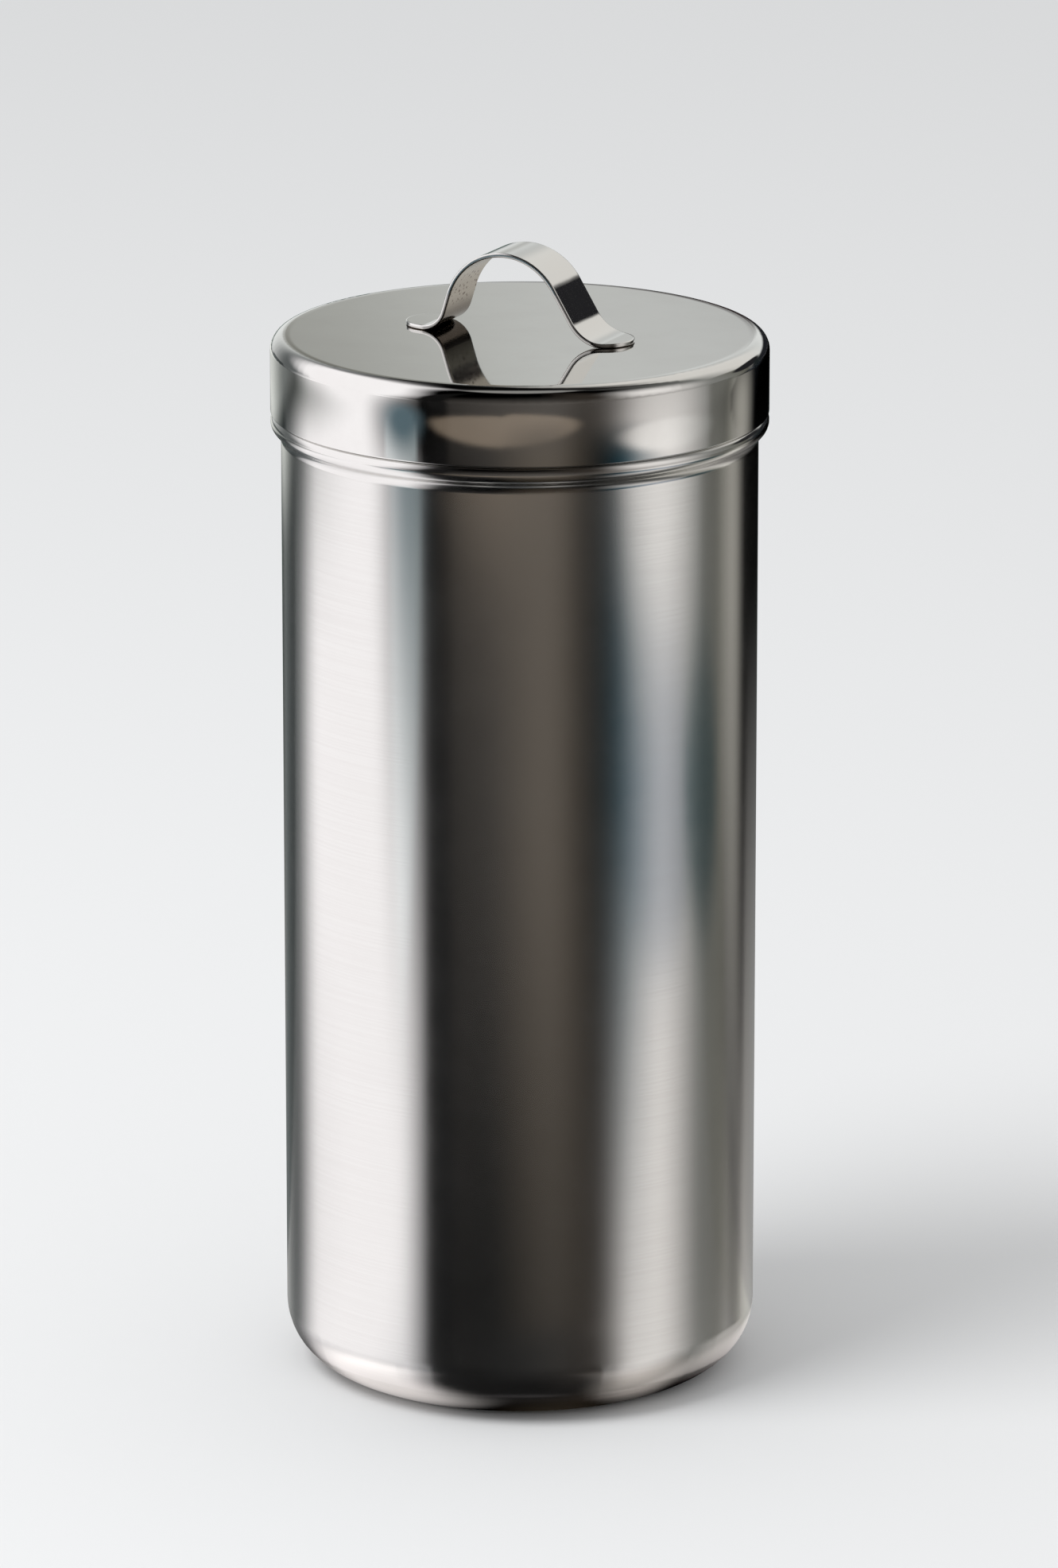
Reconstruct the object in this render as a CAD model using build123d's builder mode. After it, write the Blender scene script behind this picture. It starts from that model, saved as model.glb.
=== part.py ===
from build123d import *
import os
from math import acos, atan2, cos, degrees, radians, sin, sqrt

# Stainless-steel sundry jar with a slip-over lid and a strap handle.
# All sizes are in millimetres. Z points up, and the origin is the middle of the base, on the table.

# Jar body
body_radius = 52.5  # outside of the drawn cylinder
body_wall = 0.7  # sheet thickness everywhere in the body
base_corner_radius = 14.0  # outside radius between wall and base
foot_ring_width = 5.0  # flat ring that the jar stands on
base_rise = 0.8  # the middle of the base is pushed up by this much
base_bend_radius = 2.5  # inside radius of the two bends around the raised middle

# Bead that carries the lid, and the neck above it
bead_level = 216.5  # height of the bead's middle
bead_radius = 2.4  # outside radius of the half-round bead
cove_radius = 3.0  # hollow curve from the wall out to the bead
neck_fillet_radius = 1.0  # hollow curve from the bead back to the neck
rim_radius = 1.0  # radius of the rolled rim

# Lid
lid_wall = 0.7
lid_clearance = 0.3  # radial gap between the rolled rim and the inside of the skirt
lid_height = 17.2  # from the skirt's lower edge to the flat top
lid_shoulder_radius = 3.4  # outside radius between top and skirt
lid_edge_radius = 0.35  # outside radius on the skirt's lower edge
lid_seat_gap = 0.25  # height of the skirt's lower edge above the bead
rim_headroom = 0.4  # height of the lid's shoulder bend above the rim

# Strap handle, bent from one flat strip with full-round ends
strap_width = 13.5
strap_thickness = 1.0
crown_height = 19.0  # top of the strap above the lid
crown_radius = 13.5  # inside radius of the crown
crown_offset = -0.8  # the crown stands a little to the left of the lid's middle
left_leg_angle = 72.5  # slope of the straight legs, in degrees
right_leg_angle = 58.5
left_foot_radius = 6.0  # underside radius of the bend from leg to foot
right_foot_radius = 9.3
foot_land = 4.1  # flat length from the right foot's bend to the tip
strap_edge_radius = 0.25

# Spot welds between the strap's feet and the lid
nugget_radius = 1.5
nugget_depth_in_lid = 0.3
nugget_depth_in_strap = 0.4

# Sizes that follow from the ones above
body_inside_radius = body_radius - body_wall
rim_centre_radius = body_inside_radius + rim_radius
lid_inside_radius = rim_centre_radius + rim_radius + lid_clearance
lid_radius = lid_inside_radius + lid_wall
bead_centre_radius = lid_radius - bead_radius  # the bead's crest is flush with the lid's skirt
seat_offset = lid_inside_radius - bead_centre_radius
skirt_level = bead_level + sqrt(bead_radius**2 - seat_offset**2) + lid_seat_gap
lid_top = skirt_level + lid_height
rim_top = lid_top - lid_shoulder_radius - rim_headroom


def bend(centre, radius, start, end):
    """Arc about a centre from one direction to another, in degrees."""
    return CenterArc(centre, radius, start, end - start)


# Jar body: the section is drawn once around, up the outside and back down the inside.
corner_centre = (body_radius - base_corner_radius, base_corner_radius)
ring_inner_radius = corner_centre[0] - foot_ring_width
base_bend_angle = degrees(acos(1 - base_rise / (2 * base_bend_radius + body_wall)))
base_bend_run = (2 * base_bend_radius + body_wall) * sin(radians(base_bend_angle))
panel_radius = ring_inner_radius - base_bend_run
panel_bend_centre = (panel_radius, base_rise - base_bend_radius)
ring_bend_centre = (ring_inner_radius, body_wall + base_bend_radius)

cove_reach = body_radius + cove_radius - bead_centre_radius
cove_level = bead_level - sqrt((bead_radius + cove_radius) ** 2 - cove_reach**2)
cove_centre = (body_radius + cove_radius, cove_level)
cove_angle = degrees(atan2(bead_level - cove_level, -cove_reach))
neck_reach = body_radius + neck_fillet_radius - bead_centre_radius
neck_level = bead_level + sqrt((bead_radius + neck_fillet_radius) ** 2 - neck_reach**2)
neck_centre = (body_radius + neck_fillet_radius, neck_level)
neck_angle = degrees(atan2(neck_level - bead_level, neck_reach))
bead_centre = (bead_centre_radius, bead_level)
rim_centre = (rim_centre_radius, rim_top - rim_radius)
rim_offset = body_radius - rim_centre_radius
rim_join_drop = sqrt(rim_radius**2 - rim_offset**2)
rim_join_angle = degrees(atan2(-rim_join_drop, rim_offset))

with BuildPart() as jar_body:
    with BuildSketch(Plane.XZ):
        with BuildLine():
            panel = Line((0, base_rise), (panel_radius, base_rise))
            bend(panel_bend_centre, base_bend_radius, 90, 90 - base_bend_angle)
            ring_bend = bend(ring_bend_centre, base_bend_radius + body_wall, -90 - base_bend_angle, -90)
            Line(ring_bend @ 1, (corner_centre[0], 0))
            corner = bend(corner_centre, base_corner_radius, -90, 0)
            cove = bend(cove_centre, cove_radius, 180, cove_angle)
            Line(corner @ 1, cove @ 0)
            bend(bead_centre, bead_radius, cove_angle - 180, neck_angle)
            neck = bend(neck_centre, neck_fillet_radius, neck_angle + 180, 180)
            rim = bend(rim_centre, rim_radius, rim_join_angle, 180)
            Line(neck @ 1, rim @ 0)
            neck_inside = bend(neck_centre, neck_fillet_radius + body_wall, 180, neck_angle + 180)
            Line(rim @ 1, neck_inside @ 0)
            bend(bead_centre, bead_radius - body_wall, neck_angle, cove_angle - 180)
            cove_inside = bend(cove_centre, cove_radius + body_wall, cove_angle, 180)
            corner_inside = bend(corner_centre, base_corner_radius - body_wall, 0, -90)
            Line(cove_inside @ 1, corner_inside @ 0)
            ring_inside = bend(ring_bend_centre, base_bend_radius, -90, -90 - base_bend_angle)
            Line(corner_inside @ 1, ring_inside @ 0)
            panel_inside = bend(
                panel_bend_centre, base_bend_radius + body_wall, 90 - base_bend_angle, 90
            )
            Line(panel_inside @ 1, (0, base_rise + body_wall))
            Line((0, base_rise + body_wall), panel @ 0)
        make_face()
    revolve(axis=Axis.Z)
jar_body.part.label = "jar_body"


# Strap: the straight part of each leg is tangent to the crown's arc and to its foot's arc.
crown_level = crown_height - strap_thickness - crown_radius


def leg(angle, foot_radius):
    """Distance of a foot's bend from the crown's middle, where a leg leans at this angle."""
    slope = radians(angle)
    drop = crown_level + (crown_radius + foot_radius) * cos(slope) - foot_radius
    straight = drop / sin(slope)
    return (crown_radius + foot_radius) * sin(slope) + straight * cos(slope)


left_foot_x = crown_offset - leg(left_leg_angle, left_foot_radius)
right_foot_x = crown_offset + leg(right_leg_angle, right_foot_radius)
strap_half_length = right_foot_x + foot_land
weld_x = strap_half_length - foot_land / 2
weld_places = [(-weld_x, 0), (weld_x, 0)]

# Lid: one pressed cap, with a shallow seat for the weld under each foot.
shoulder_centre = (lid_radius - lid_shoulder_radius, lid_top - lid_shoulder_radius)
edge_centre = (lid_radius - lid_edge_radius, skirt_level + lid_edge_radius)

with BuildPart() as lid:
    with BuildSketch(Plane.XZ):
        with BuildLine():
            shoulder = bend(shoulder_centre, lid_shoulder_radius, 90, 0)
            Line((0, lid_top), shoulder @ 0)
            edge = bend(edge_centre, lid_edge_radius, 0, -90)
            Line(shoulder @ 1, edge @ 0)
            shoulder_inside = bend(shoulder_centre, lid_shoulder_radius - lid_wall, 0, 90)
            Line(edge @ 1, (lid_inside_radius, skirt_level))
            Line((lid_inside_radius, skirt_level), shoulder_inside @ 0)
            Line(shoulder_inside @ 1, (0, lid_top - lid_wall))
            Line((0, lid_top - lid_wall), (0, lid_top))
        make_face()
    revolve(axis=Axis.Z)
    with BuildSketch(Plane.XY.offset(lid_top)):
        with Locations(*weld_places):
            Circle(nugget_radius)
    extrude(amount=-nugget_depth_in_lid, mode=Mode.SUBTRACT)
lid.part.label = "lid"

# Strap handle: the side view is drawn on the lid's top and pulled out to the strap's width.
crown_centre = (crown_offset, lid_top + crown_level)
left_foot_centre = (left_foot_x, lid_top + left_foot_radius)
right_foot_centre = (right_foot_x, lid_top + right_foot_radius)
side_length = 2 * strap_half_length

with BuildPart() as strap_handle:
    with BuildSketch(Plane.XZ):
        with BuildLine():
            left_under = bend(left_foot_centre, left_foot_radius, -90, left_leg_angle - 90)
            crown_under = bend(crown_centre, crown_radius, 90 + left_leg_angle, 90 - right_leg_angle)
            right_under = bend(right_foot_centre, right_foot_radius, -90 - right_leg_angle, -90)
            Line((-strap_half_length, lid_top), left_under @ 0)
            Line(left_under @ 1, crown_under @ 0)
            Line(crown_under @ 1, right_under @ 0)
            right_land = Line(right_under @ 1, (strap_half_length, lid_top))
            right_tip = Line(right_land @ 1, (strap_half_length, lid_top + strap_thickness))
            right_over = bend(
                right_foot_centre, right_foot_radius - strap_thickness, -90, -90 - right_leg_angle
            )
            crown_over = bend(
                crown_centre, crown_radius + strap_thickness, 90 - right_leg_angle, 90 + left_leg_angle
            )
            left_over = bend(
                left_foot_centre, left_foot_radius - strap_thickness, left_leg_angle - 90, -90
            )
            Line(right_tip @ 1, right_over @ 0)
            Line(right_over @ 1, crown_over @ 0)
            Line(crown_over @ 1, left_over @ 0)
            left_tip = Line((-strap_half_length, lid_top), (-strap_half_length, lid_top + strap_thickness))
            Line(left_over @ 1, left_tip @ 1)
        make_face()
    extrude(amount=strap_width / 2, both=True)
    with BuildSketch(Plane.XY.offset(lid_top)):
        SlotOverall(side_length, strap_width)
    extrude(amount=crown_height, mode=Mode.INTERSECT)
    outline = strap_handle.edges().filter_by(Axis.Y, reverse=True).filter_by(Axis.Z, reverse=True)
    fillet(outline, strap_edge_radius)
    with BuildSketch(Plane.XY.offset(lid_top)):
        with Locations(*weld_places):
            Circle(nugget_radius)
    extrude(amount=nugget_depth_in_strap, mode=Mode.SUBTRACT)
strap_handle.part.label = "strap_handle"

# Weld nuggets: each one is fused half into the lid and half into the strap.
with BuildPart() as weld_nuggets:
    with BuildSketch(Plane.XY.offset(lid_top - nugget_depth_in_lid)):
        with Locations(*weld_places):
            Circle(nugget_radius)
    extrude(amount=nugget_depth_in_lid + nugget_depth_in_strap)
weld_nuggets.part.label = "weld_nuggets"

os.makedirs("parts", exist_ok=True)
export_step(jar_body.part, "parts/jar_body.step")
export_step(lid.part, "parts/lid.step")
export_step(strap_handle.part, "parts/strap_handle.step")
export_step(weld_nuggets.part, "parts/weld_nuggets.step")
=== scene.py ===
from math import cos, radians, sin, sqrt

import bpy
import numpy as np
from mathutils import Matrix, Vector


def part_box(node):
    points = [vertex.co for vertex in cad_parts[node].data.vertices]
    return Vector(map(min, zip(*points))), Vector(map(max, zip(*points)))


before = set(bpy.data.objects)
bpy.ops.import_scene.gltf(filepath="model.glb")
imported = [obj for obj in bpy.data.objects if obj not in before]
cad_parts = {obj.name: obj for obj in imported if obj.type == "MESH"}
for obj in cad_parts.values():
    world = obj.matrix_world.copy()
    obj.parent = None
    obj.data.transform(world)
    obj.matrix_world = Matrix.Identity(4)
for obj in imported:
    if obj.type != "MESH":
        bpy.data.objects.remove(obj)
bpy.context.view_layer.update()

# Stainless-steel sundry jar: finishes, studio and camera. All lengths are in metres.
MM = 0.001

# Camera, at the photograph's angle
CAMERA_TURN = 25.8  # degrees from the -Y axis towards +X, round the jar
CAMERA_DISTANCE = 1.9606  # along the floor, from the jar's axis
CAMERA_HEIGHT = 0.6837
CAMERA_PITCH = 15.69  # degrees below the horizon
CAMERA_PAN = 0.0586  # degrees to the right, which puts the jar a little left of the middle
FURTHEST_SEEN = 100
PHOTO_HEIGHT = 1972  # pixels
FOCAL_LENGTH = 11531  # pixels
SENSOR = 36.0  # millimetres along the picture's long side

# Forms of the jar and the lid that the finishes follow. The frame gives the first three.
LID_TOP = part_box("lid")[1].z
LID_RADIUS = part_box("lid")[1].x
RIM_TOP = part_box("jar_body")[1].z
BODY_RADIUS = 52.5 * MM
BODY_WALL = 0.7 * MM
WALL_START = 14 * MM  # top of the base corner
WALL_FADE = 6 * MM
COVE_RADIUS = 3 * MM
BEAD_LEVEL = 216.5 * MM
BEAD_RADIUS = 2.4 * MM
BEAD_FADE = (1.6 * MM, 1.9 * MM)  # above the bead's middle, where its drawn profile ends
RIM_RADIUS = 1 * MM
RIM_CENTRE = BODY_RADIUS - BODY_WALL + RIM_RADIUS  # radius and level of the rim's round section
RIM_LEVEL = RIM_TOP - RIM_RADIUS
RIM_INSIDE = RIM_CENTRE - 0.6 * MM  # nearer to the axis, the inner wall goes on below the rim
SHARP_EDGE = 30  # degrees

# Level at which the wall turns out into the hollow curve below the bead. The bead's crest is flush
# with the lid's skirt.
COVE_REACH = BODY_RADIUS + COVE_RADIUS - (LID_RADIUS - BEAD_RADIUS)
COVE_LEVEL = BEAD_LEVEL - sqrt((BEAD_RADIUS + COVE_RADIUS) ** 2 - COVE_REACH ** 2)

# Forms that only the lid's finish has, as leaning normals
SKIRT_MIDDLE = LID_TOP - 10.64 * MM  # the skirt bulges by 0.14 mm about this height
SKIRT_BULGE = 2.5 / 6  # lean of the skirt, in degrees for each millimetre from its middle
SHOULDER_START = LID_TOP - 3.44 * MM  # the lean fades out on the shoulder
SHOULDER_END = LID_TOP - 0.64 * MM
PANEL_EDGE = LID_RADIUS - 4.7 * MM  # the flat panel rolls off from this radius
ROLL_PEAK = LID_RADIUS - 3.8 * MM  # the roll-off leans most here
ROLL_END = LID_RADIUS - 2.3 * MM  # from here on there is only the shoulder's own bend
ROLL_LEAN = 0.045  # greatest slope of the roll-off

# Colours of the finishes
STEEL = "#CECDCA"
STEEL_SHADE = "#C9C7C4"
DULL_STEEL = "#B5AFA6"
# dark brown that the strap's inner side turns to towards its feet
BROWN_NEAR_FEET = "#4E443B"
PIT = "#5B4A40"
WELD_GREY = "#A8A29A"
WELD_STRAW = "#B09A74"
FLOOR_PAINT = "#E4E5E6"


def linear(colour):
    """Linear red, green and blue of an sRGB hex colour."""
    parts = [int(colour[k:k + 2], 16) / 255 for k in (1, 3, 5)]
    return [p / 12.92 if p <= 0.04045 else ((p + 0.055) / 1.055) ** 2.4 for p in parts]


def add(tree, kind, inputs=None, **settings):
    """Adds a node with its settings, and sets or links its inputs."""
    made = tree.nodes.new("ShaderNode" + kind)
    for name, value in settings.items():
        setattr(made, name, value)
    for name, value in (inputs or {}).items():
        if isinstance(value, bpy.types.NodeSocket):
            tree.links.new(value, made.inputs[name])
        else:
            made.inputs[name].default_value = value
    return made


def new_material(name):
    """An empty material, and its tree."""
    material = bpy.data.materials.new(name)
    material.use_nodes = True
    material.node_tree.nodes.clear()
    return material, material.node_tree


# Normals that follow the turned forms

def from_axis(tree, place):
    """The direction away from the jar's axis, and the distance from it."""
    level = add(tree, "VectorMath", {0: place, 1: (1, 1, 0)}, operation="MULTIPLY")
    radius = add(tree, "VectorMath", {0: level.outputs["Vector"]}, operation="LENGTH")
    outwards = add(tree, "VectorMath", {0: level.outputs["Vector"]}, operation="NORMALIZE")
    return outwards.outputs["Vector"], radius.outputs["Value"]


def turned_normal(tree, place, level):
    """The normal of the jar's outside from its profile: straight wall, hollow curve and bead. It
    keeps the mesh's facets out of the reflections."""
    outwards, _ = from_axis(tree, place)
    cove = add(tree, "MapRange", {
        "Value": level,
        "From Min": COVE_LEVEL, "From Max": COVE_LEVEL + COVE_RADIUS,
        "To Max": -1.0,
    })
    bead = add(tree, "MapRange", {
        "Value": level,
        "From Min": BEAD_LEVEL - BEAD_RADIUS, "From Max": BEAD_LEVEL + BEAD_RADIUS,
        "To Min": -1.0,
    })
    tilt = add(tree, "Math", {
        0: cove.outputs["Result"], 1: bead.outputs["Result"],
    }, operation="MAXIMUM")
    flat = add(tree, "Math", {
        0: tilt.outputs["Value"], 1: tilt.outputs["Value"],
    }, operation="MULTIPLY")
    flat = add(tree, "Math", {0: 1.0, 1: flat.outputs["Value"]}, operation="SUBTRACT")
    flat = add(tree, "Math", {0: flat.outputs["Value"]}, operation="SQRT")
    across = add(tree, "VectorMath", {
        0: outwards, "Scale": flat.outputs["Value"],
    }, operation="SCALE")
    up = add(tree, "CombineXYZ", {"Z": tilt.outputs["Value"]})
    profile = add(tree, "VectorMath", {0: across.outputs["Vector"], 1: up.outputs["Vector"]})
    # It is used on the outside alone, from the wall's foot to the part of the bead that shows.
    meshed = add(tree, "NewGeometry").outputs["Normal"]
    outside = add(tree, "VectorMath", {0: meshed, 1: outwards}, operation="DOT_PRODUCT")
    outside = add(tree, "MapRange", {
        "Value": outside.outputs["Value"], "From Min": -0.2, "From Max": -0.1,
    })
    above = add(tree, "MapRange", {
        "Value": level, "From Min": WALL_START, "From Max": WALL_START + WALL_FADE,
    })
    below = add(tree, "MapRange", {
        "Value": level,
        "From Min": BEAD_LEVEL + BEAD_FADE[1], "From Max": BEAD_LEVEL + BEAD_FADE[0],
    })
    used = add(tree, "Math", {
        0: above.outputs["Result"], 1: below.outputs["Result"],
    }, operation="MULTIPLY")
    used = add(tree, "Math", {
        0: used.outputs["Value"], 1: outside.outputs["Result"],
    }, operation="MULTIPLY")
    mixed = add(tree, "Mix", {
        "Factor": used.outputs["Value"], 4: meshed, 5: profile.outputs["Vector"],
    }, data_type="VECTOR")
    return mixed.outputs[1]


def rolled_rim_normal(tree, place, level, below):
    """The rolled rim's normal from its round section, and the given normal below the rim."""
    outwards, radius = from_axis(tree, place)
    across = add(tree, "Math", {0: radius, 1: RIM_CENTRE}, operation="SUBTRACT")
    across = add(tree, "VectorMath", {
        0: outwards, "Scale": across.outputs["Value"],
    }, operation="SCALE")
    up = add(tree, "Math", {0: level, 1: RIM_LEVEL}, operation="SUBTRACT")
    # The inner wall's normal stays level.
    inside = add(tree, "Math", {0: radius, 1: RIM_INSIDE}, operation="LESS_THAN")
    lowest = add(tree, "Math", {0: inside.outputs["Value"], 1: 1.0}, operation="SUBTRACT")
    up = add(tree, "Math", {
        0: up.outputs["Value"], 1: lowest.outputs["Value"],
    }, operation="MAXIMUM")
    up = add(tree, "CombineXYZ", {"Z": up.outputs["Value"]})
    section = add(tree, "VectorMath", {0: across.outputs["Vector"], 1: up.outputs["Vector"]})
    section = add(tree, "VectorMath", {0: section.outputs["Vector"]}, operation="NORMALIZE")
    on_rim = add(tree, "MapRange", {
        "Value": level,
        "From Min": RIM_LEVEL - RIM_RADIUS, "From Max": RIM_LEVEL - 0.95 * RIM_RADIUS,
    })
    mixed = add(tree, "Mix", {
        "Factor": on_rim.outputs["Result"], 4: below, 5: section.outputs["Vector"],
    }, data_type="VECTOR")
    return mixed.outputs[1]


def pressed_normal(tree, place, level):
    """The lid's normal, leaning as the pressed sheet does: up above the middle of the skirt and
    down below it, and outwards where the flat panel rolls off into the shoulder."""
    most = sin(radians(SKIRT_BULGE)) / MM * (SHOULDER_START - SKIRT_MIDDLE)
    lean = add(tree, "MapRange", {
        "Value": level,
        "From Min": 2 * SKIRT_MIDDLE - SHOULDER_START, "From Max": SHOULDER_START,
        "To Min": -most, "To Max": most,
    })
    on_skirt = add(tree, "MapRange", {
        "Value": level, "From Min": SHOULDER_END, "From Max": SHOULDER_START,
    }, interpolation_type="SMOOTHSTEP")
    lean = add(tree, "Math", {
        0: lean.outputs["Result"], 1: on_skirt.outputs["Result"],
    }, operation="MULTIPLY")
    bulge = add(tree, "CombineXYZ", {"Z": lean.outputs["Value"]})

    meshed = add(tree, "NewGeometry").outputs["Normal"]
    facing = add(tree, "SeparateXYZ", {"Vector": meshed})
    on_panel = add(tree, "MapRange", {
        "Value": facing.outputs["Z"], "From Min": 0.2, "From Max": 0.4,
    })
    outwards, radius = from_axis(tree, place)
    rising = add(tree, "MapRange", {
        "Value": radius, "From Min": PANEL_EDGE, "From Max": ROLL_PEAK, "To Max": ROLL_LEAN,
    })
    falling = add(tree, "MapRange", {
        "Value": radius, "From Min": ROLL_END, "From Max": ROLL_PEAK, "To Max": ROLL_LEAN,
    })
    roll = add(tree, "Math", {
        0: rising.outputs["Result"], 1: falling.outputs["Result"],
    }, operation="MINIMUM")
    roll = add(tree, "Math", {
        0: roll.outputs["Value"], 1: on_panel.outputs["Result"],
    }, operation="MULTIPLY")
    roll = add(tree, "VectorMath", {0: outwards, "Scale": roll.outputs["Value"]}, operation="SCALE")

    both = add(tree, "VectorMath", {0: bulge.outputs["Vector"], 1: roll.outputs["Vector"]})
    leaning = add(tree, "VectorMath", {0: meshed, 1: both.outputs["Vector"]})
    leaning = add(tree, "VectorMath", {0: leaning.outputs["Vector"]}, operation="NORMALIZE")
    return leaning.outputs["Vector"]


# Finishes

def satin_stainless_steel():
    """Drawn 18/8 steel, satin polished on a lathe: soft reflections, smeared up and down by the
    rings of the polish, on a wall that is very slightly uneven. The bead and the hollow below it
    are buffed bright."""
    ring_spacing = 0.4 * MM  # real rings are about 0.05 mm apart, and are drawn wider to show
    ring_run = 50 * MM  # how far a ring keeps its shade round the wall
    ring_depth = 0.0002 * MM
    wall_patches = (33, 33, 22)  # for each metre: patches about 30 mm wide and 45 mm tall
    wall_unevenness = 0.06 * MM
    wiping_clouds = 80.0  # for each metre: clouds about 12 mm wide
    satin_roughness = (0.146, 0.154)
    haze_roughness = 0.008
    buffed_roughness = 0.12
    buff_start, buff_full = 211 * MM, 213.5 * MM

    material, tree = new_material("satin_stainless_steel")
    place = add(tree, "TexCoord").outputs["Object"]
    height = add(tree, "SeparateXYZ", {"Vector": place}).outputs["Z"]
    along_rings = add(tree, "Mapping", {
        "Vector": place, "Scale": (1 / ring_run, 1 / ring_run, 1 / ring_spacing),
    })
    rings = add(tree, "TexNoise", {
        "Vector": along_rings.outputs["Vector"], "Scale": 1.0, "Detail": 2.0, "Roughness": 0.6,
    })
    patches = add(tree, "Mapping", {"Vector": place, "Scale": wall_patches})
    uneven = add(tree, "TexNoise", {
        "Vector": patches.outputs["Vector"], "Scale": 1.0, "Detail": 0.0,
    })
    haze = add(tree, "TexNoise", {
        "Vector": place, "Scale": wiping_clouds, "Detail": 4.0, "Roughness": 0.55,
    })
    satin = add(tree, "MapRange", {
        "Value": rings.outputs["Fac"], "From Min": 0.3, "From Max": 0.7,
        "To Min": satin_roughness[0], "To Max": satin_roughness[1],
    })
    hazed = add(tree, "MapRange", {
        "Value": haze.outputs["Fac"], "From Min": 0.35, "From Max": 0.65,
        "To Min": -haze_roughness, "To Max": haze_roughness,
    })
    rough = add(tree, "Math", {
        0: satin.outputs["Result"], 1: hazed.outputs["Result"],
    }, operation="ADD")
    buffed = add(tree, "MapRange", {
        "Value": height, "From Min": buff_start, "From Max": buff_full,
    }, interpolation_type="SMOOTHSTEP")
    rough = add(tree, "Mix", {
        "Factor": buffed.outputs["Result"], 2: rough.outputs["Value"], 3: buffed_roughness,
    })
    shade = add(tree, "MapRange", {
        "Value": rings.outputs["Fac"], "From Min": 0.35, "From Max": 0.65, "To Max": 0.5,
    })
    colour = add(tree, "Mix", {
        "Factor": shade.outputs["Result"], 6: (*linear(STEEL), 1), 7: (*linear(STEEL_SHADE), 1),
    }, data_type="RGBA")
    turned = turned_normal(tree, place, height)
    turned = rolled_rim_normal(tree, place, height, turned)
    wavy = add(tree, "Bump", {
        "Strength": 1.0, "Distance": wall_unevenness, "Height": uneven.outputs["Fac"],
        "Normal": turned,
    })
    ringed = add(tree, "Bump", {
        "Strength": 1.0, "Distance": ring_depth, "Height": rings.outputs["Fac"],
        "Normal": wavy.outputs["Normal"],
    })
    around = add(tree, "Tangent", direction_type="RADIAL", axis="Z")
    steel = add(tree, "BsdfPrincipled", {
        "Base Color": colour.outputs[2],
        "Metallic": 1.0,
        "Roughness": rough.outputs[0],
        "Anisotropic": 0.2,
        "Anisotropic Rotation": 0.25,
        "Tangent": around.outputs["Tangent"],
        "Normal": ringed.outputs["Normal"],
    })
    add(tree, "OutputMaterial", {"Surface": steel.outputs["BSDF"]})
    return material


def polished_stainless_steel():
    """Pressed steel, buffed on a wheel: a near mirror with faint haze and very fine rubbing
    marks."""
    mark_spacing = 0.3 * MM  # hair-fine lines across the lid
    marks_along = 70.0  # for each metre: lines about 15 mm long
    marks_down = 2000.0  # for each metre: lines 0.5 mm apart on the skirt
    mark_turn = CAMERA_TURN - 8  # degrees
    mark_depth = 0.0005 * MM
    panel_waves = 28.0  # for each metre
    wave_height = 0.02 * MM
    haze_clouds = 90.0  # for each metre
    haze_roughness = (0.035, 0.05)
    mark_roughness = (-0.006, 0.01)

    material, tree = new_material("polished_stainless_steel")
    place = add(tree, "TexCoord").outputs["Object"]
    height = add(tree, "SeparateXYZ", {"Vector": place}).outputs["Z"]
    across = add(tree, "Mapping", {
        "Vector": place, "Rotation": (0, 0, radians(mark_turn)),
        "Scale": (marks_along, 1 / mark_spacing, marks_down),
    })
    marks = add(tree, "TexNoise", {
        "Vector": across.outputs["Vector"], "Scale": 1.0, "Detail": 2.0, "Roughness": 0.65,
    })
    haze = add(tree, "TexNoise", {
        "Vector": place, "Scale": haze_clouds, "Detail": 5.0, "Roughness": 0.6,
    })
    waves = add(tree, "TexNoise", {"Vector": place, "Scale": panel_waves, "Detail": 1.0})
    rubbed = add(tree, "MapRange", {
        "Value": marks.outputs["Fac"], "From Min": 0.3, "From Max": 0.7,
        "To Min": mark_roughness[0], "To Max": mark_roughness[1],
    })
    cloudy = add(tree, "MapRange", {
        "Value": haze.outputs["Fac"], "From Min": 0.35, "From Max": 0.65,
        "To Min": haze_roughness[0], "To Max": haze_roughness[1],
    })
    rough = add(tree, "Math", {
        0: rubbed.outputs["Result"], 1: cloudy.outputs["Result"],
    }, operation="ADD")
    shade = add(tree, "MapRange", {
        "Value": haze.outputs["Fac"], "From Min": 0.4, "From Max": 0.7, "To Max": 0.6,
    })
    colour = add(tree, "Mix", {
        "Factor": shade.outputs["Result"], 6: (*linear(STEEL), 1), 7: (*linear(STEEL_SHADE), 1),
    }, data_type="RGBA")
    wavy = add(tree, "Bump", {
        "Distance": wave_height, "Height": waves.outputs["Fac"],
        "Normal": pressed_normal(tree, place, height),
    })
    marked = add(tree, "Bump", {
        "Distance": mark_depth, "Height": marks.outputs["Fac"], "Normal": wavy.outputs["Normal"],
    })
    steel = add(tree, "BsdfPrincipled", {
        "Base Color": colour.outputs[2],
        "Metallic": 1.0,
        "Roughness": rough.outputs["Value"],
        "Normal": marked.outputs["Normal"],
    })
    add(tree, "OutputMaterial", {"Surface": steel.outputs["BSDF"]})
    return material


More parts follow.
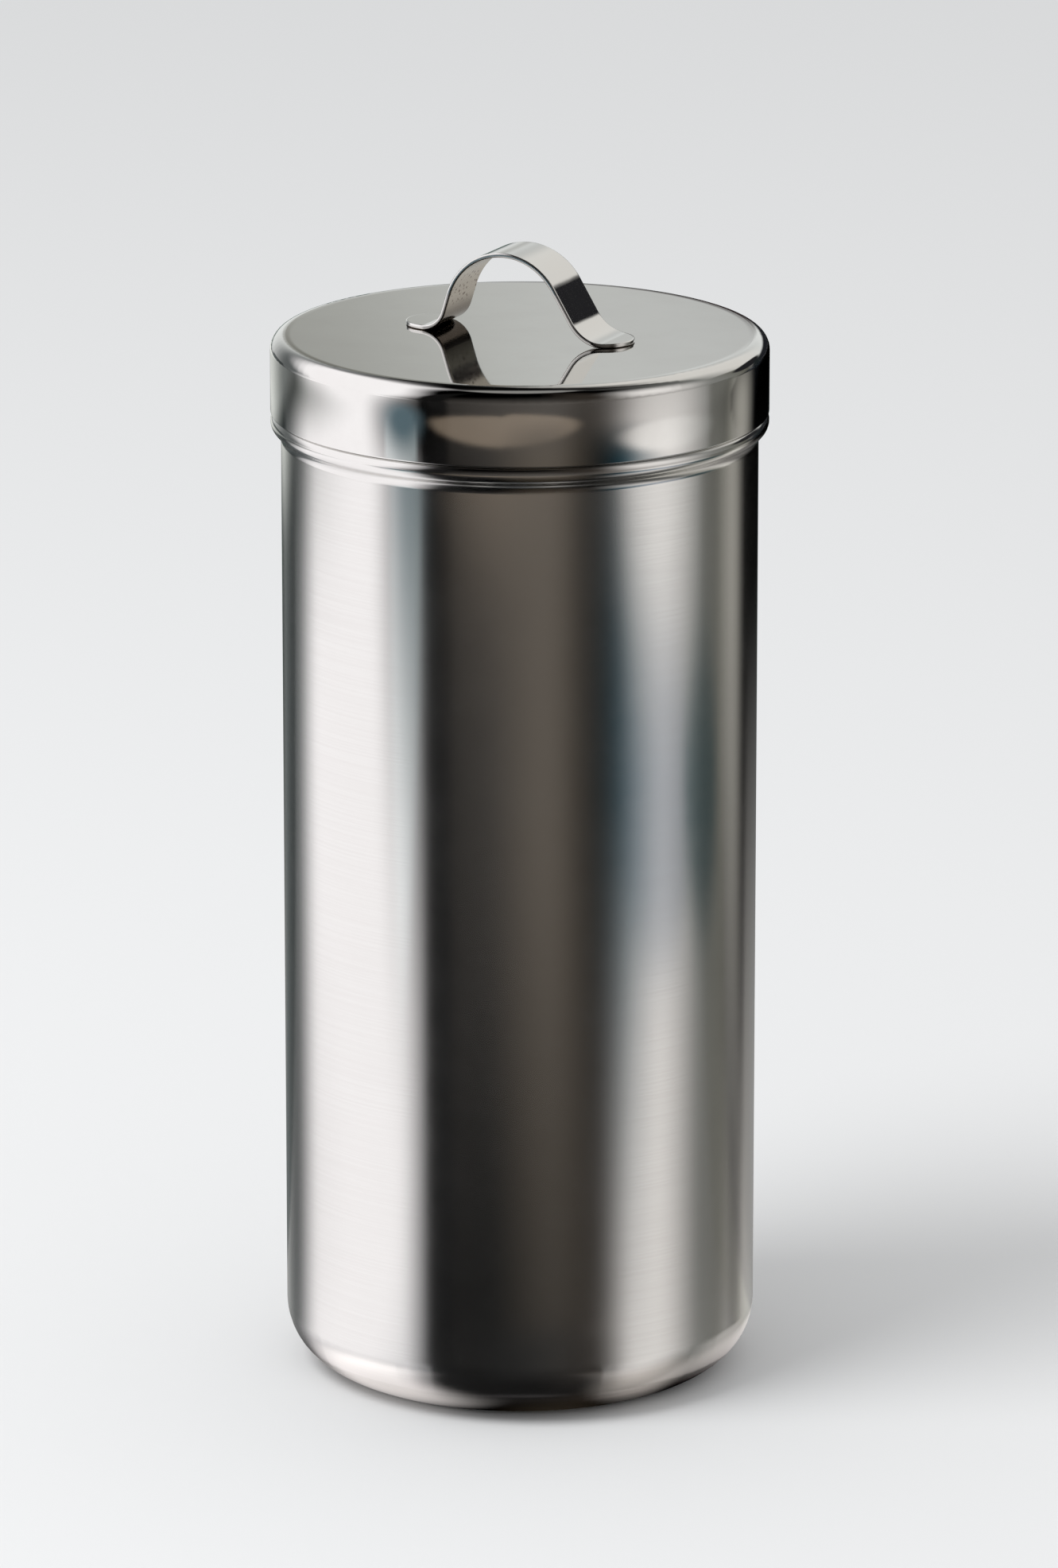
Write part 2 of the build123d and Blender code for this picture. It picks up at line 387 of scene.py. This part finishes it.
def bent_strap_steel():
    """Polished strip, bent cold: a clear mirror with lengthwise marks outside, and a duller inner
    side. That side has pits 0.2 to 0.8 mm across on the left leg, and turns dark brown towards the
    feet."""
    mark_spacing = 0.25 * MM
    marks_along = 60.0  # for each metre: marks about 17 mm long
    mark_roughness = (0.04, 0.07)
    inner_roughness = 0.18
    rolled_edge = 0.45 * MM  # the strip's long edges are rolled nearly round
    strip_waves = 120.0  # for each metre
    wave_height = 0.02 * MM
    pit_groups = 260.0  # for each metre: groups about 4 mm wide
    pit_spacing = 900.0  # for each metre: pits about 1 mm apart
    pit_share = 0.9  # how far a group spreads its pits
    pit_edge = (-0.19, -0.29)
    left_leg_from, left_leg_full = -9 * MM, -12 * MM
    pits_from, pits_full = LID_TOP + 5 * MM, LID_TOP + 7 * MM
    tint_from, tint_full = LID_TOP + 8 * MM, LID_TOP + 2 * MM

    material, tree = new_material("bent_strap_steel")
    place = add(tree, "TexCoord").outputs["Object"]
    where = add(tree, "SeparateXYZ", {"Vector": place})
    lengthwise = add(tree, "Mapping", {
        "Vector": place, "Scale": (marks_along, 1 / mark_spacing, marks_along),
    })
    marks = add(tree, "TexNoise", {
        "Vector": lengthwise.outputs["Vector"], "Scale": 1.0, "Detail": 2.0, "Roughness": 0.6,
    })
    rubbed = add(tree, "MapRange", {
        "Value": marks.outputs["Fac"], "From Min": 0.3, "From Max": 0.7,
        "To Min": mark_roughness[0], "To Max": mark_roughness[1],
    })
    facing = add(tree, "SeparateXYZ", {"Vector": add(tree, "NewGeometry").outputs["Normal"]})
    inner = add(tree, "MapRange", {
        "Value": facing.outputs["Z"], "From Min": -0.1, "From Max": -0.25,
    })
    crowd = add(tree, "TexNoise", {"Vector": place, "Scale": pit_groups, "Detail": 1.0})
    pits = add(tree, "TexVoronoi", {"Vector": place, "Scale": pit_spacing})
    pits = add(tree, "Math", {
        0: crowd.outputs["Fac"], 1: -pit_share, 2: pits.outputs["Distance"],
    }, operation="MULTIPLY_ADD")
    pits = add(tree, "MapRange", {
        "Value": pits.outputs["Value"], "From Min": pit_edge[0], "From Max": pit_edge[1],
    }, interpolation_type="SMOOTHSTEP")
    left_leg = add(tree, "MapRange", {
        "Value": where.outputs["X"], "From Min": left_leg_from, "From Max": left_leg_full,
    })
    above_foot = add(tree, "MapRange", {
        "Value": where.outputs["Z"], "From Min": pits_from, "From Max": pits_full,
    })
    pitted = add(tree, "Math", {
        0: left_leg.outputs["Result"], 1: above_foot.outputs["Result"],
    }, operation="MULTIPLY")
    pitted = add(tree, "Math", {
        0: pitted.outputs["Value"], 1: pits.outputs["Result"],
    }, operation="MULTIPLY")
    # The inner side turns dark brown towards the feet.
    tinted = add(tree, "MapRange", {
        "Value": where.outputs["Z"], "From Min": tint_from, "From Max": tint_full,
    }, interpolation_type="SMOOTHSTEP")
    dull = add(tree, "Mix", {
        "Factor": tinted.outputs["Result"],
        6: (*linear(DULL_STEEL), 1), 7: (*linear(BROWN_NEAR_FEET), 1),
    }, data_type="RGBA")
    dull = add(tree, "Mix", {
        "Factor": pitted.outputs["Value"], 6: dull.outputs[2], 7: (*linear(PIT), 1),
    }, data_type="RGBA")
    colour = add(tree, "Mix", {
        "Factor": inner.outputs["Result"], 6: (*linear(STEEL), 1), 7: dull.outputs[2],
    }, data_type="RGBA")
    rough = add(tree, "Mix", {
        "Factor": inner.outputs["Result"], 2: rubbed.outputs["Result"], 3: inner_roughness,
    })
    rolled = add(tree, "Bevel", {"Radius": rolled_edge}, samples=8)
    waves = add(tree, "TexNoise", {"Vector": place, "Scale": strip_waves, "Detail": 1.0})
    wavy = add(tree, "Bump", {
        "Distance": wave_height, "Height": waves.outputs["Fac"],
        "Normal": rolled.outputs["Normal"],
    })
    steel = add(tree, "BsdfPrincipled", {
        "Base Color": colour.outputs[2],
        "Metallic": 1.0,
        "Roughness": rough.outputs[0],
        "Normal": wavy.outputs["Normal"],
    })
    add(tree, "OutputMaterial", {"Surface": steel.outputs["BSDF"]})
    return material


def fused_weld_steel():
    """Spot weld: dull grey, straw-coloured where the heat spread."""
    weld_grain = 1500.0  # for each metre
    weld_roughness = (0.35, 0.55)

    material, tree = new_material("fused_weld_steel")
    place = add(tree, "TexCoord").outputs["Object"]
    grain = add(tree, "TexNoise", {"Vector": place, "Scale": weld_grain, "Detail": 3.0})
    colour = add(tree, "Mix", {
        "Factor": grain.outputs["Fac"],
        6: (*linear(WELD_GREY), 1), 7: (*linear(WELD_STRAW), 1),
    }, data_type="RGBA")
    rough = add(tree, "MapRange", {
        "Value": grain.outputs["Fac"], "To Min": weld_roughness[0], "To Max": weld_roughness[1],
    })
    steel = add(tree, "BsdfPrincipled", {
        "Base Color": colour.outputs[2],
        "Metallic": 1.0,
        "Roughness": rough.outputs["Result"],
    })
    add(tree, "OutputMaterial", {"Surface": steel.outputs["BSDF"]})
    return material


def even_normals(piece):
    """Joins the loose triangles for shading and averages their normals, except across sharp
    edges, so that reflections run smoothly round the turned forms. No point moves."""
    piece.modifiers.new("joined", "WELD").merge_threshold = 0.002 * MM
    piece.modifiers.new("sharp_edges", "EDGE_SPLIT").split_angle = radians(SHARP_EDGE)
    average = piece.modifiers.new("average", "WEIGHTED_NORMAL")
    average.mode = "FACE_AREA_WITH_ANGLE"
    average.keep_sharp = True


for node, finish in (
    ("jar_body", satin_stainless_steel()),
    ("lid", polished_stainless_steel()),
    ("strap_handle", bent_strap_steel()),
    ("weld_nuggets", fused_weld_steel()),
):
    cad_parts[node].material_slots[0].material = finish
    even_normals(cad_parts[node])


# Studio

SHELL_RADIUS = 15.0  # far enough that the reflections don't slide as the lid rises
SHELL_STEPS = (240, 180)  # round and up: fine enough for the cards' soft edges
TABLE_HOLE = 1 * MM  # radius of the table's innermost ring
TABLE_STEPS = (180, 260)  # round and outwards
TABLE_ROUGHNESS = 0.12
FLOOR_RADIUS = 9
LAMP_AIM = 0.1  # height of the point that the lamp looks at

# Most numbers and tints in the next three lists come from a least-squares fit of the reflections to
# the photograph, made outside this script. They were rounded, and some were moved.

# The softboxes and cards that the metal reflects, from the furthest to the nearest. Directions are
# in degrees: round the jar from the camera, towards the picture's right, and above the horizon.
# Each card is an oval with a soft edge, and covers what is behind it.
CARDS = (
    # name, direction, height, half width, half height, softness, colour, strength
    ("left softbox", -109, 23, 58, 48, 0.19, "#FEFCFF", 1.49),
    ("rear softbox", 141, 18, 42, 51, 0.14, "#FFFDF9", 0.98),
    ("black flag at the rear left", -162, -48, 59, 80, 0.13, "#F4FDFF", 0.17),
    ("grey wall at the rear left", 174, 0, 35, 24, 0.48, "#FCFFFE", 0.95),
    ("grey wall at the right", 107, 4, 24, 18, 0.15, "#FFFCE0", 0.15),
    ("right softbox spill", 94, -8, 23, 58, 0.85, "#FDFFFB", 0.31),
    ("right softbox", 64, 18, 21, 23, 0.82, "#FFFCFB", 1.45),
    ("black flag at the rear right", 155, -1, 27, 11, 0.22, "#E2E9FF", 0.023),
    ("backdrop", -177, 18, 3, 8, 0.92, "#FFFFF2", 0.3),
    ("brown screen under the camera", 26, -32, 53, 47, 0.94, "#FFF6EE", 0.21),
    ("black gap beside the screen", -40, -5, 7, 68, 0.25, "#FFFFFF", 0.01),
    ("brown edge of the screen", 34, 32, 13, 31, 0.94, "#FFEBD9", 0.042),
    ("black strip at the rear right", 131, 12, 15, 7.5, 0.15, "#F3F3FF", 0.025),
    ("black edge at the rear right", 139, 0, 5, 9, 0.32, "#DEF7FF", 0.025),
    ("dark ceiling at the rear right", 159, 71, 42, 11, 0.84, "#FFFFFF", 0.01),
    ("black end at the rear", 177, 6, 3, 7, 0.62, "#FFAAAA", 0.022),
    ("dark gap beside the backdrop", -177, 35, 3, 16, 0.59, "#FFFFFF", 0.009),
    ("grey ceiling overhead", 0, 90, 400, 13, 0.25, "#FFFEFB", 0.36),
)

# Shades on the satin table, which mirrors the studio below the horizon. Reach is in metres from
# the jar's axis.
SHADES = (
    # name, direction, reach, half width, half depth, softness, colour, strength
    ("dark end at the rear right", 167, 0.48, 42, 3.22, 0.4, "#FFFFFF", 0.004),
    ("rear right near the jar", 166, -0.33, 92, 0.73, 0.49, "#FFFCFB", 0.46),
    ("grey line at the right", 104, 0.6, 9, 9.0, 0.28, "#FFFEFA", 0.7),
    ("dark line at the rear left", -146, 0.6, 10, 9.0, 0.05, "#F5FEFF", 0.29),
    ("rear left", -177, 0.6, 11, 9.0, 0.95, "#E2FFF8", 0.22),
    ("blue gap in the right light", 68, 0.55, 24, 0.16, 0.09, "#EBF4FF", 0.65),
    ("dark front near the jar", -7, 0.12, 27, 0.24, 0.95, "#EFF8FF", 0.32),
    ("blue edge of the left light", -53, 1.18, 14, 0.59, 0.72, "#FFFFFF", 0.009),
    ("blue shade at the front right", 44, 0.66, 15, 0.34, 0.95, "#95E0FF", 0.18),
    ("end of the right light", 95, 0.55, 12, 0.14, 0.33, "#CAF4FF", 0.3),
    ("far shade at the left", -132, 1.16, 29, 0.27, 0.94, "#F6FFF7", 0.22),
    ("far light at the rear left", -156, 1.27, 27, 0.43, 0.22, "#FFFFFB", 1.34),
    ("far shade at the right", 120, 1.1, 9, 0.26, 0.05, "#FFFFFF", 0.0),
    ("far dark end at the rear right", 155, 1.08, 35, 0.27, 0.93, "#FFFFFF", 0.0),
    ("far light at the right", 70, 0.94, 25, 0.17, 0.25, "#FEFFFF", 1.17),
    ("far black end at the right", 134, 3.19, 11, 1.85, 0.3, "#E1EEFF", 0.63),
    ("dark ring round the jar", 0, 0.015, 400, 0.042, 0.51, "#FF95B9", 0.03),
)

# Patches of the table that glow, in place of the light that a real table scatters.
GLOWS = (
    # name, direction, reach, half width, half depth, softness, colour, strength
    ("brown far front", -7, 1.21, 33, 0.33, 0.12, "#FFE7CD", 0.23),
    ("far edge of the left light", -55, 0.91, 8, 0.52, 0.12, "#E7FAFF", 0.36),
    ("blue shade in the left light", -55, 1.2, 9, 0.36, 0.6, "#C3ECFF", 0.24),
    ("far right", 121, 0.93, 8, 0.49, 0.92, "#FFFCF2", 0.44),
    ("black far front", 11, 0.61, 15, 0.47, 0.95, "#FFE6C6", 0.062),
    ("left light beside the jar", -42, 0.0545, 31, 0.0112, 0.45, "#FFFAF9", 0.92),
    ("right light beside the jar", 36, 0.082, 22, 0.031, 0.36, "#FFF7F1", 0.81),
    ("black gap beside the jar", 31, 0.091, 74, 0.028, 0.35, "#FFFFFF", 0.005),
    ("black front beside the jar", -3, 0.061, 30, 0.013, 0.31, "#FFFFFF", 0.011),
    ("rear left beside the jar", -151, 0.043, 74, 0.006, 0.44, "#FFFAF9", 1.0),
    ("rear right beside the jar", 147, 0.054, 79, 0.011, 0.39, "#FFF9F7", 0.47),
)


def smooth(x):
    """Eases from 0 to 1."""
    x = np.clip(x, 0, 1)
    return x * x * (3 - 2 * x)


def layered(turn, level, ground, ovals):
    """Colour in each place once every soft-edged oval is laid over the ones before it."""
    colour = np.full((len(turn), 3), ground)
    for _, at_turn, at_level, half_width, half_extent, softness, tint, strength in ovals:
        across = ((turn - at_turn + 180) % 360 - 180) / half_width
        up = (level - at_level) / half_extent
        shows = 1 - smooth((np.hypot(across, up) - 1 + softness) / (2 * softness))
        over = np.array(linear(tint)) * strength
        colour += (over - colour) * shows[:, None]
    return colour


def points_of(mesh):
    """The places of a mesh's vertices, one to a row."""
    points = np.empty(len(mesh.vertices) * 3)
    mesh.vertices.foreach_get("co", points)
    return points.reshape(-1, 3)


def painted(mesh, name, colour):
    """Stores a colour for each vertex."""
    layer = mesh.attributes.new(name, "FLOAT_COLOR", "POINT")
    layer.data.foreach_set("color", np.column_stack([colour, np.ones(len(colour))]).ravel())


def only_for_metal(thing):
    """Leaves a studio thing to the metal's reflections alone."""
    thing.visible_camera = False
    thing.visible_diffuse = False
    thing.visible_shadow = False
    thing.visible_transmission = False


def studio_shell():
    """A far shell that carries the softboxes and cards."""
    bpy.ops.mesh.primitive_uv_sphere_add(
        segments=SHELL_STEPS[0], ring_count=SHELL_STEPS[1], radius=SHELL_RADIUS,
    )
    shell = bpy.context.object
    shell.name = "studio_shell"
    x, y, z = points_of(shell.data).T
    turn = np.degrees(np.arctan2(x, -y)) - CAMERA_TURN
    height = np.degrees(np.arcsin(np.clip(z / SHELL_RADIUS, -1, 1)))
    painted(shell.data, "light", layered(turn, height, 0.0, CARDS))
    material, tree = new_material("softboxes_and_cards")
    light = add(tree, "Attribute", attribute_name="light")
    lit = add(tree, "Emission", {"Color": light.outputs["Color"]})
    add(tree, "OutputMaterial", {"Surface": lit.outputs["Emission"]})
    material.cycles.emission_sampling = "NONE"
    shell.data.materials.append(material)
    only_for_metal(shell)


def satin_table():
    """A dark satin table that the metal mirrors in place of the pale floor, as a sheet of rings
    that widen outwards."""
    bpy.ops.mesh.primitive_grid_add(
        x_subdivisions=TABLE_STEPS[0], y_subdivisions=TABLE_STEPS[1], size=2,
    )
    table = bpy.context.object
    table.name = "satin_table"
    points = points_of(table.data)
    turn = 180 * points[:, 0]
    reach = TABLE_HOLE * (SHELL_RADIUS / TABLE_HOLE) ** ((points[:, 1] + 1) / 2)
    angle = np.radians(turn + CAMERA_TURN)
    points = np.column_stack([reach * np.sin(angle), -reach * np.cos(angle), 0 * reach])
    table.data.vertices.foreach_set("co", points.ravel())
    painted(table.data, "shade", layered(turn, reach, 1.0, SHADES))
    painted(table.data, "glow", layered(turn, reach, 0.0, GLOWS))
    material, tree = new_material("satin_dark_laminate")
    shade = add(tree, "Attribute", attribute_name="shade")
    glow = add(tree, "Attribute", attribute_name="glow")
    gloss = add(tree, "BsdfAnisotropic", {
        "Color": shade.outputs["Color"], "Roughness": TABLE_ROUGHNESS,
    })
    lit = add(tree, "Emission", {"Color": glow.outputs["Color"]})
    both = add(tree, "AddShader", {0: gloss.outputs["BSDF"], 1: lit.outputs["Emission"]})
    add(tree, "OutputMaterial", {"Surface": both.outputs["Shader"]})
    material.cycles.emission_sampling = "NONE"
    table.data.materials.append(material)
    only_for_metal(table)


def pale_floor():
    """A plain pale floor, which the metal doesn't mirror."""
    bpy.ops.mesh.primitive_circle_add(vertices=96, radius=FLOOR_RADIUS, fill_type="NGON")
    ground = bpy.context.object
    ground.name = "floor"
    material, tree = new_material("pale_matt_floor")
    paint = add(tree, "BsdfDiffuse", {"Color": (*linear(FLOOR_PAINT), 1)})
    add(tree, "OutputMaterial", {"Surface": paint.outputs["BSDF"]})
    ground.data.materials.append(material)
    ground.visible_glossy = False


def lamp(name, direction, height, distance, size, power):
    """A large soft lamp that points at the jar, to light the floor round it. Its direction is
    from the camera's, like the cards', and its height is in degrees above the horizon."""
    light = bpy.data.lights.new(name, "AREA")
    light.shape = "DISK"
    light.size = size
    light.energy = power
    holder = bpy.data.objects.new(name, light)
    turn, tilt = radians(CAMERA_TURN + direction), radians(height)
    holder.location = (
        distance * sin(turn) * cos(tilt),
        -distance * cos(turn) * cos(tilt),
        distance * sin(tilt) + LAMP_AIM,
    )
    holder.rotation_euler = (radians(90) - tilt, 0, turn)
    holder.visible_glossy = False
    bpy.context.scene.collection.objects.link(holder)


def sky(colour, strength):
    """Even light from all round, and the pale ground beyond the floor's edge."""
    world = bpy.data.worlds.new("studio_air")
    world.use_nodes = True
    world.node_tree.nodes.clear()
    air = add(world.node_tree, "Background", {
        "Color": (*linear(colour), 1), "Strength": strength,
    })
    add(world.node_tree, "OutputWorld", {"Surface": air.outputs["Background"]})
    bpy.context.scene.world = world


def camera():
    """The camera, at the photograph's place and angle."""
    lens = bpy.data.cameras.new("camera")
    lens.lens = FOCAL_LENGTH / PHOTO_HEIGHT * SENSOR
    lens.sensor_width = SENSOR
    lens.clip_end = FURTHEST_SEEN
    holder = bpy.data.objects.new("camera", lens)
    turn = radians(CAMERA_TURN)
    holder.location = (
        CAMERA_DISTANCE * sin(turn), -CAMERA_DISTANCE * cos(turn), CAMERA_HEIGHT,
    )
    holder.rotation_euler = (
        radians(90 - CAMERA_PITCH), 0, radians(CAMERA_TURN - CAMERA_PAN),
    )
    bpy.context.scene.collection.objects.link(holder)
    bpy.context.scene.camera = holder


bpy.ops.object.select_all(action="DESELECT")
studio_shell()
satin_table()
pale_floor()
sky(colour="#FFFFFF", strength=0.76)
lamp("key_lamp", direction=-60, height=55, distance=2.2, size=1.2, power=26)
camera()
bpy.context.scene.view_settings.view_transform = "Standard"
